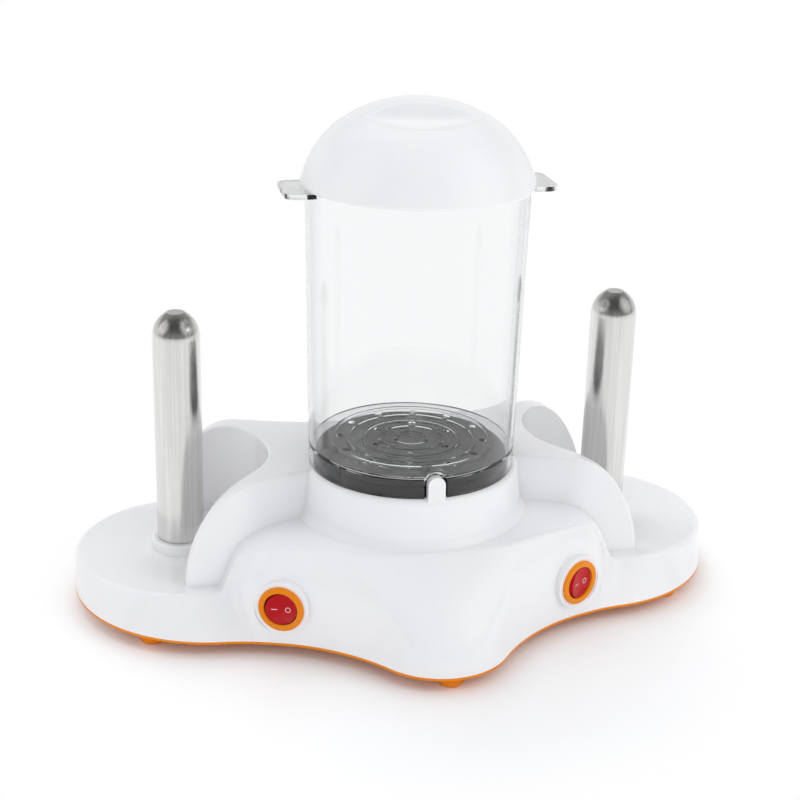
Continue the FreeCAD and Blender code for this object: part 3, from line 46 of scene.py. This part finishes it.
scene = bpy.context.scene


# ---------- building blocks of a shader tree ----------

def add(tree, kind, sockets=None, **settings):
    """New node with its properties set; each socket takes a constant, or joins the output given for it."""
    node = tree.nodes.new(kind)
    for name, value in settings.items():
        setattr(node, name, value)
    for label, value in (sockets or {}).items():
        if isinstance(value, bpy.types.NodeSocket):
            tree.links.new(value, node.inputs[label])
        else:
            node.inputs[label].default_value = value
    return node


def place_on_piece(tree):
    """Coordinates that stay with the piece."""
    return add(tree, "ShaderNodeTexCoord").outputs["Object"]


def noise(tree, place, scale, detail, **more):
    """Value of a cloudy pattern."""
    sockets = {"Vector": place, "Scale": scale, "Detail": detail, **more}
    return add(tree, "ShaderNodeTexNoise", sockets).outputs["Fac"]


def ranged(tree, source, span, values=(0.0, 1.0), easing="LINEAR"):
    """Value that goes from the first of two values to the second as the source crosses a span."""
    sockets = {"Value": source, "From Min": span[0], "From Max": span[1],
               "To Min": values[0], "To Max": values[1]}
    return add(tree, "ShaderNodeMapRange", sockets, interpolation_type=easing).outputs["Result"]


def joined(tree, operation, *values):
    """Values joined by a sum, a product or the larger of them."""
    return add(tree, "ShaderNodeMath", dict(enumerate(values)), operation=operation).outputs[0]


def reach_of(tree, vector):
    """Length of a vector."""
    return add(tree, "ShaderNodeVectorMath", {0: vector}, operation="LENGTH").outputs["Value"]


def ramp(tree, source, span, tones):
    """Colour that goes from the first of two tones to the second as the source crosses a span."""
    node = add(tree, "ShaderNodeValToRGB", {"Fac": source})
    for stop, position, tone in zip(node.color_ramp.elements, span, tones):
        stop.position = position
        stop.color = (*tone, 1.0)
    return node.outputs["Color"]


def bumped(tree, height, strength, distance):
    """Normal that follows a height."""
    sockets = {"Height": height, "Strength": strength, "Distance": distance}
    return add(tree, "ShaderNodeBump", sockets).outputs["Normal"]


def mixed_shaders(tree, share, first, second):
    """Two shaders mixed by the share of the second."""
    return add(tree, "ShaderNodeMixShader", {"Fac": share, 1: first, 2: second}).outputs[0]


# ---------- effects that several finishes share ----------

def new_group(name, inputs, outputs):
    """Shader node group with named sockets: its tree, the values given to it, and the node that puts out."""
    tree = bpy.data.node_groups.new(name, "ShaderNodeTree")
    for label, kind, default in inputs:
        socket = tree.interface.new_socket(label, in_out="INPUT", socket_type=kind)
        socket.default_value = default
    for label, kind in outputs:
        tree.interface.new_socket(label, in_out="OUTPUT", socket_type=kind)
    return tree, add(tree, "NodeGroupInput").outputs, add(tree, "NodeGroupOutput")


def moulded_skin():
    """Moulded plastic: faint flow waves, a fine grain and the smudges of handling."""
    tree, given, result = new_group(
        "moulded_skin",
        (("Grain Scale", "NodeSocketFloat", 900.0),
         ("Wave Scale", "NodeSocketFloat", 28.0),
         ("Smudge Scale", "NodeSocketFloat", 14.0),
         ("Low Roughness", "NodeSocketFloat", 0.15),
         ("High Roughness", "NodeSocketFloat", 0.28)),
        (("Height", "NodeSocketFloat"), ("Roughness", "NodeSocketFloat"), ("Smudge", "NodeSocketFloat")))
    grain_share = 0.12
    place = place_on_piece(tree)
    grain = noise(tree, place, given["Grain Scale"], detail=2.0)
    wave = noise(tree, place, given["Wave Scale"], detail=1.0)
    smudge = noise(tree, place, given["Smudge Scale"], detail=5.0, Roughness=0.62, Distortion=0.6)
    height = joined(tree, "ADD", joined(tree, "MULTIPLY", grain, grain_share), wave)
    roughness = ranged(tree, smudge, span=(0.38, 0.68),
                       values=(given["Low Roughness"], given["High Roughness"]))
    for label, value in (("Height", height), ("Roughness", roughness), ("Smudge", smudge)):
        tree.links.new(value, result.inputs[label])
    return tree


def rubbed_edges():
    """Raised edges rubbed by hands and cloths: a paler tone and a duller gloss along them, in patches."""
    tree, given, result = new_group(
        "rubbed_edges",
        (("Colour", "NodeSocketColor", (0.8, 0.8, 0.8, 1.0)),
         ("Worn Colour", "NodeSocketColor", (0.9, 0.9, 0.9, 1.0)),
         ("Roughness", "NodeSocketFloat", 0.2),
         ("Patch Scale", "NodeSocketFloat", 60.0),
         ("Wear", "NodeSocketFloat", 0.6)),
        (("Colour", "NodeSocketColor"), ("Roughness", "NodeSocketFloat")))
    added_roughness = 0.25
    pointiness = add(tree, "ShaderNodeNewGeometry").outputs["Pointiness"]
    edge = ranged(tree, pointiness, span=(0.53, 0.62))
    cloud = noise(tree, place_on_piece(tree), given["Patch Scale"], detail=3.0)
    patch = ranged(tree, cloud, span=(0.42, 0.6))
    worn = joined(tree, "MULTIPLY", joined(tree, "MULTIPLY", edge, patch), given["Wear"])
    # The colour sockets of the mix share their names with others, so they go by number.
    share, first, second, mixed = 0, 6, 7, 2
    colour = add(tree, "ShaderNodeMix", {share: worn, first: given["Colour"], second: given["Worn Colour"]},
                 data_type="RGBA").outputs[mixed]
    roughness = joined(tree, "MULTIPLY_ADD", worn, added_roughness, given["Roughness"])
    for label, value in (("Colour", colour), ("Roughness", roughness)):
        tree.links.new(value, result.inputs[label])
    return tree


SKIN = moulded_skin()
RUBBED = rubbed_edges()


# ---------- finishes ----------

def blank(name):
    """Material with an empty tree."""
    material = bpy.data.materials.new(name)
    material.use_nodes = True
    material.node_tree.nodes.clear()
    return material, material.node_tree


def surfaced(tree, shader):
    """Shader shown on the surface."""
    add(tree, "ShaderNodeOutputMaterial", {"Surface": shader})


def paler(colour, lift=0.06):
    """Colour a little nearer to white."""
    return [part + lift * (1.0 - part) for part in colour]


def plastic(name, colour, deeper, low=0.15, high=0.28, wave=28.0, grain=900.0, strength=0.12, coat=0.25,
            sheen=0.5, worn=None):
    """Moulded plastic of one colour that drifts to a deeper tone, its edges rubbed towards a worn one."""
    material, tree = blank(name)
    skin = add(tree, "ShaderNodeGroup",
               {"Grain Scale": grain, "Wave Scale": wave, "Low Roughness": low, "High Roughness": high},
               node_tree=SKIN).outputs
    rubbed = add(tree, "ShaderNodeGroup",
                 {"Colour": ramp(tree, skin["Smudge"], span=(0.42, 0.6), tones=(deeper, colour)),
                  "Worn Colour": (*(worn or paler(colour)), 1.0),
                  "Roughness": skin["Roughness"]},
                 node_tree=RUBBED).outputs
    shader = add(tree, "ShaderNodeBsdfPrincipled", {
        "Base Color": rubbed["Colour"], "Roughness": rubbed["Roughness"], "IOR": 1.5,
        "Specular IOR Level": sheen, "Coat Weight": coat, "Coat Roughness": 0.06,
        "Normal": bumped(tree, skin["Height"], strength, 0.4 * MM)})
    surfaced(tree, shader.outputs["BSDF"])
    return material


def clear_plastic():
    """Clear moulded plastic, faintly uneven, with painted grey shade where it is seen edge on, its grip ears
    frosted.
    """
    material, tree = blank("clear_container_plastic")
    skin = add(tree, "ShaderNodeGroup",
               {"Grain Scale": 60.0, "Wave Scale": 18.0, "Low Roughness": 0.0, "High Roughness": 0.02},
               node_tree=SKIN).outputs
    rim_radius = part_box("steam_container")[1].y
    frost_span = (rim_radius + 1.0 * MM, rim_radius + 3.5 * MM)
    flat = add(tree, "ShaderNodeVectorMath", {0: place_on_piece(tree), 1: (1.0, 1.0, 0.0)},
               operation="MULTIPLY").outputs["Vector"]
    frost = ranged(tree, reach_of(tree, flat), frost_span, values=(0.0, 0.12))
    # Painted shade: the clear plastic's colour turns grey where it is seen edge on, standing in for the
    # darker bands that reflection and refraction give its edges.
    painted_shade_edge_on = add(tree, "ShaderNodeLayerWeight", {"Blend": 0.5}).outputs["Facing"]
    shader = add(tree, "ShaderNodeBsdfPrincipled", {
        "Base Color": ramp(tree, painted_shade_edge_on, span=(0.5, 0.97), tones=((0.962, 0.967, 0.97), (0.60, 0.62, 0.63))),
        "Roughness": joined(tree, "ADD", skin["Roughness"], frost),
        "Metallic": 0.0, "Transmission Weight": 1.0, "IOR": 1.4,
        "Normal": bumped(tree, skin["Height"], strength=0.04, distance=0.3 * MM)})
    surfaced(tree, shader.outputs["BSDF"])
    return material


def drawn_steel(name, colour, low, high, fine, shade=0.86):
    """Bright metal with fine upright lines, some of them a little darker and glossier."""
    material, tree = blank(name)
    drawn_out = add(tree, "ShaderNodeMapping", {"Vector": place_on_piece(tree), "Scale": (1.0, 1.0, 0.02)})
    lines = noise(tree, drawn_out.outputs["Vector"], fine, detail=3.0)
    shader = add(tree, "ShaderNodeBsdfPrincipled", {
        "Base Color": ramp(tree, lines, span=(0.35, 0.65), tones=([shade * part for part in colour], colour)),
        "Roughness": ranged(tree, lines, span=(0.0, 1.0), values=(low, high)),
        "Metallic": 1.0,
        "Normal": bumped(tree, lines, strength=0.15, distance=0.1 * MM)})
    surfaced(tree, shader.outputs["BSDF"])
    return material


WHITE = plastic("white_gloss_plastic", (0.86, 0.86, 0.87), (0.845, 0.845, 0.86), low=0.1, high=0.2)
ORANGE = plastic("orange_plastic", (0.82, 0.25, 0.001), (0.77, 0.22, 0.001),
                 low=0.24, high=0.36, coat=0.0, sheen=0.22)
RED = plastic("red_rocker_plastic", (0.50, 0.006, 0.012), (0.43, 0.005, 0.010),
              low=0.2, high=0.3, coat=0.0, sheen=0.12)
BLACK = plastic("black_fitting_plastic", (0.02, 0.02, 0.022), (0.014, 0.014, 0.015),
                low=0.35, high=0.5, coat=0.0)
MARK = plastic("pale_mark_paint", (0.82, 0.60, 0.60), (0.76, 0.53, 0.53), low=0.35, high=0.5, coat=0.0)
RUBBER = plastic("grey_silicone", (0.16, 0.16, 0.165), (0.13, 0.13, 0.135), low=0.5, high=0.65, coat=0.0)
CERAMIC = plastic("heater_ceramic", (0.72, 0.68, 0.6), (0.66, 0.61, 0.53),
                  low=0.55, high=0.7, coat=0.0, strength=0.4)
ENAMEL = plastic("black_pan_enamel", (0.003, 0.003, 0.0034), (0.005, 0.005, 0.0055),
                 low=0.05, high=0.1, coat=0.0, wave=30.0, grain=80.0, strength=0.02, sheen=0.12,
                 worn=(0.02, 0.02, 0.02))
CLEAR = clear_plastic()
TUBE = drawn_steel("drawn_spike_steel", (0.78, 0.77, 0.75), low=0.12, high=0.3, fine=700.0)
STEEL = drawn_steel("zinc_steel", (0.6, 0.6, 0.6), low=0.28, high=0.45, fine=400.0)
ALUMINIUM = drawn_steel("heater_metal", (0.62, 0.6, 0.57), low=0.35, high=0.55, fine=300.0)

FINISHES = (
    (WHITE, ("upper_housing", "lid", "spike_collar_left", "spike_collar_right")),
    (ORANGE, ("base_plate", "foot_front", "foot_left", "foot_right", "foot_rear_left", "foot_rear_right",
              "switch_ring_left", "switch_ring_right")),
    (RED, ("switch_rocker_left", "switch_rocker_right")),
    (BLACK, ("switch_body_left", "switch_body_right", "spike_nut_left", "spike_nut_right",
             "terminal_block", "cord_gland")),
    (RUBBER, ("pan_gasket",)),
    (CERAMIC, ("spike_core_left", "spike_core_right")),
    (ENAMEL, ("steam_pan",)),
    (CLEAR, ("steam_container",)),
    (TUBE, ("spike_tube_left", "spike_tube_right")),
    (STEEL, ("housing_screws", "pan_nuts", "pan_clamp")),
    (ALUMINIUM, ("pan_heater", "thermostat", "thermal_fuse")),
)
for finish, members in FINISHES:
    for member in members:
        slots = nodes[member].data.materials
        slots.clear()
        slots.append(finish)


# ---------- marks on the rockers ----------

SWITCH_TURN = math.radians(28.0)  # how far each switch looks out to its own side
DISH_RADIUS = 40.0 * MM
DISH_FLOOR = 2.2 * MM             # from the pin's middle out to the deepest line of the hollow face
PAINT_LIFT = 0.05 * MM
OFF_RING_X = 3.6 * MM
OFF_RING_OUTER = 1.55 * MM
OFF_RING_INNER = 1.15 * MM
ON_BAR_X = -3.9 * MM
ON_BAR_LENGTH = 3.4 * MM
ON_BAR_WIDTH = 0.5 * MM
ON_SLIT_LENGTH = 2.9 * MM         # hairline down the middle of the bar, where its band meets itself
ON_SLIT_WIDTH = 0.02 * MM


def rocker_place(word, side):
    """Matrix from a rocker's own frame at rest, Z out of its face and X to its off end, to the object's."""
    pin = next(joint for joint in frame["joints"] if joint["child"] == "rocker_" + word)
    rest_tilt = math.radians(pin["range_deg"][1]) / 2
    return (Matrix.Translation(pin["pos_m"]) @ Matrix.Rotation(side * SWITCH_TURN, 4, "Z")
            @ Matrix.Rotation(math.pi / 2, 4, "X") @ Matrix.Rotation(rest_tilt, 4, "Y"))


def on_dish(x, y):
    """Point on the rocker's hollow face, lifted by a coat of paint."""
    rise = DISH_RADIUS - math.sqrt(DISH_RADIUS ** 2 - x ** 2)
    return Vector((x, y, DISH_FLOOR + rise + PAINT_LIFT))


def painted_band(name, matrix, outer, inner):
    """Closed band between two outlines of as many points, laid on the rocker's face."""
    count = len(outer)
    faces = [(i, (i + 1) % count, count + (i + 1) % count, count + i) for i in range(count)]
    mesh = bpy.data.meshes.new(name)
    mesh.from_pydata([matrix @ on_dish(*point) for point in outer + inner], [], faces)
    mesh.update()
    mesh.materials.append(MARK)
    piece = bpy.data.objects.new(name, mesh)
    scene.collection.objects.link(piece)
    return piece


def ring_outline(centre, radius, count=48):
    """Points round a circle."""
    turns = [2 * math.pi * step / count for step in range(count)]
    return [(centre + radius * math.cos(turn), radius * math.sin(turn)) for turn in turns]


def bar_outline(centre, length, width, count=12):
    """Points round a flat bar with round ends."""
    radius = width / 2
    straight = length / 2 - radius
    turns = [math.pi * step / (count - 1) - math.pi / 2 for step in range(count)]
    return [(centre + end * (straight + radius * math.cos(turn)), end * radius * math.sin(turn))
            for end in (1, -1) for turn in turns]


for side, word in ((1, "right"), (-1, "left")):
    matrix = rocker_place(word, side)
    off_mark = painted_band("off_mark_" + word, matrix, ring_outline(OFF_RING_X, OFF_RING_OUTER),
                            ring_outline(OFF_RING_X, OFF_RING_INNER))
    on_mark = painted_band("on_mark_" + word, matrix, bar_outline(ON_BAR_X, ON_BAR_LENGTH, ON_BAR_WIDTH),
                           bar_outline(ON_BAR_X, ON_SLIT_LENGTH, ON_SLIT_WIDTH))
    for mark in (off_mark, on_mark):
        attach(mark, "rocker_" + word)


# ---------- the room ----------

def towards(tree, way, direction):
    """How nearly a ray goes in a direction."""
    return add(tree, "ShaderNodeVectorMath", {0: way, 1: Vector(direction).normalized()},
               operation="DOT_PRODUCT").outputs["Value"]


def background(tree, colour, strength):
    """World shader of one colour."""
    return add(tree, "ShaderNodeBackground", {"Color": (*colour, 1.0), "Strength": strength}).outputs[0]


def glow(tree, way, direction, span, strengths):
    """Strength that changes softly as rays turn towards a direction."""
    return ranged(tree, towards(tree, way, direction), span, strengths, easing="SMOOTHSTEP")


def mirrored_room(tree):
    """Strength of the room in gloss and glass: white backdrop behind, dim in front and above, two windows."""
    way = add(tree, "ShaderNodeTexCoord").outputs["Generated"]
    window_strength = 0.7
    backdrop = glow(tree, way, (0.0, 1.0, 0.0), span=(-0.35, 0.45), strengths=(0.25, 1.0))
    ceiling = glow(tree, way, (0.0, 0.0, 1.0), span=(0.1, 0.6), strengths=(1.0, 0.35))
    right_window = glow(tree, way, (0.72, -0.42, 0.55), span=(0.80, 0.97), strengths=(0.0, window_strength))
    left_window = glow(tree, way, (-0.85, -0.1, 0.5), span=(0.86, 0.97), strengths=(0.0, window_strength))
    return joined(tree, "ADD", joined(tree, "MULTIPLY", backdrop, ceiling),
                  joined(tree, "ADD", right_window, left_window))


def studio_world():
    """Plain white to the eye, a room to gloss and glass, and an even soft light to all else."""
    world = bpy.data.worlds.new("studio")
    world.use_nodes = True
    tree = world.node_tree
    tree.nodes.clear()
    ray = add(tree, "ShaderNodeLightPath").outputs
    shown = background(tree, (1.0, 1.0, 1.0), 1.0)
    lit = background(tree, (0.97, 0.98, 1.0), 0.86)
    mirrored = background(tree, (0.8, 0.8, 0.8), mirrored_room(tree))
    by_gloss = mixed_shaders(
        tree, joined(tree, "MAXIMUM", ray["Is Glossy Ray"], ray["Is Transmission Ray"]), lit, mirrored)
    by_eye = mixed_shaders(tree, ray["Is Camera Ray"], by_gloss, shown)
    add(tree, "ShaderNodeOutputWorld", {"Surface": by_eye})
    return world


def pale_floor():
    """Floor that keeps the object's shadow near it and turns to clear white farther out."""
    half_width, drop = 4.0, 0.2 * MM
    fade_span = (0.15, 0.26)
    mesh = bpy.data.meshes.new("floor")
    corners = [(x * half_width, y * half_width, 0.0) for x, y in ((-1, -1), (1, -1), (1, 1), (-1, 1))]
    mesh.from_pydata(corners, [], [(0, 1, 2, 3)])
    piece = bpy.data.objects.new("floor", mesh)
    scene.collection.objects.link(piece)
    piece.location.z = -drop

    material, tree = blank("pale_floor")
    base = add(tree, "ShaderNodeBsdfPrincipled",
               {"Base Color": (0.97, 0.97, 0.97, 1.0), "Roughness": 0.4, "Specular IOR Level": 0.25})
    clear_white = add(tree, "ShaderNodeEmission", {"Color": (1.0, 1.0, 1.0, 1.0), "Strength": 1.0})
    ray = add(tree, "ShaderNodeLightPath").outputs
    far = ranged(tree, reach_of(tree, place_on_piece(tree)), fade_span, easing="SMOOTHSTEP")
    seen = joined(tree, "MAXIMUM", ray["Is Camera Ray"], ray["Is Transmission Ray"])
    surfaced(tree, mixed_shaders(tree, joined(tree, "MULTIPLY", far, seen), base.outputs["BSDF"],
                                 clear_white.outputs[0]))
    mesh.materials.append(material)
    return piece


scene.world = studio_world()
floor = pale_floor()


# ---------- lamps ----------

def lamp(name, place, aim, width, height, power):
    """Soft rectangular lamp that looks at a point and doesn't show in gloss."""
    data = bpy.data.lights.new(name, "AREA")
    data.shape = "RECTANGLE"
    data.size = width
    data.size_y = height
    data.energy = power
    holder = bpy.data.objects.new(name, data)
    scene.collection.objects.link(holder)
    holder.location = place
    facing = Vector(aim) - Vector(place)
    holder.rotation_euler = facing.to_track_quat("-Z", "Y").to_euler()
    holder.visible_glossy = False


lamp("key_right", place=(1.5, -0.9, 1.5), aim=(0.0, 0.0, 0.08), width=1.2, height=1.2, power=8.0)
lamp("top_behind", place=(-0.3, 1.3, 1.7), aim=(0.0, 0.0, 0.0), width=1.8, height=1.4, power=13.5)
lamp("front_soft", place=(-0.8, -2.0, 0.7), aim=(0.0, 0.0, 0.1), width=1.6, height=1.2, power=5.5)


# ---------- camera ----------

EYE_AZIMUTH = math.radians(-13.79)
EYE_ELEVATION = math.radians(21.02)
EYE_ROLL = math.radians(1.46)
EYE_PLACE = Vector((-212.65, -837.87, 454.94)) * MM
FOCAL_PIXELS = 1644.07
PICTURE_PIXELS = 800.0
SENSOR = 36.0

eye = bpy.data.cameras.new("eye")
eye.sensor_width = SENSOR
eye.lens = SENSOR * FOCAL_PIXELS / PICTURE_PIXELS
eye.clip_start = 0.05
camera = bpy.data.objects.new("eye", eye)
scene.collection.objects.link(camera)
level_share = math.cos(EYE_ELEVATION)
back = Vector((math.sin(EYE_AZIMUTH) * level_share, -math.cos(EYE_AZIMUTH) * level_share,
               math.sin(EYE_ELEVATION)))
sideways = Vector((0.0, 0.0, 1.0)).cross(back).normalized()
upwards = back.cross(sideways).normalized()
across = sideways * math.cos(EYE_ROLL) + upwards * math.sin(EYE_ROLL)
along = upwards * math.cos(EYE_ROLL) - sideways * math.sin(EYE_ROLL)
camera.matrix_world = Matrix((
    (across.x, along.x, back.x, EYE_PLACE.x),
    (across.y, along.y, back.y, EYE_PLACE.y),
    (across.z, along.z, back.z, EYE_PLACE.z),
    (0.0, 0.0, 0.0, 1.0)))
scene.camera = camera
scene.view_settings.view_transform = "Standard"
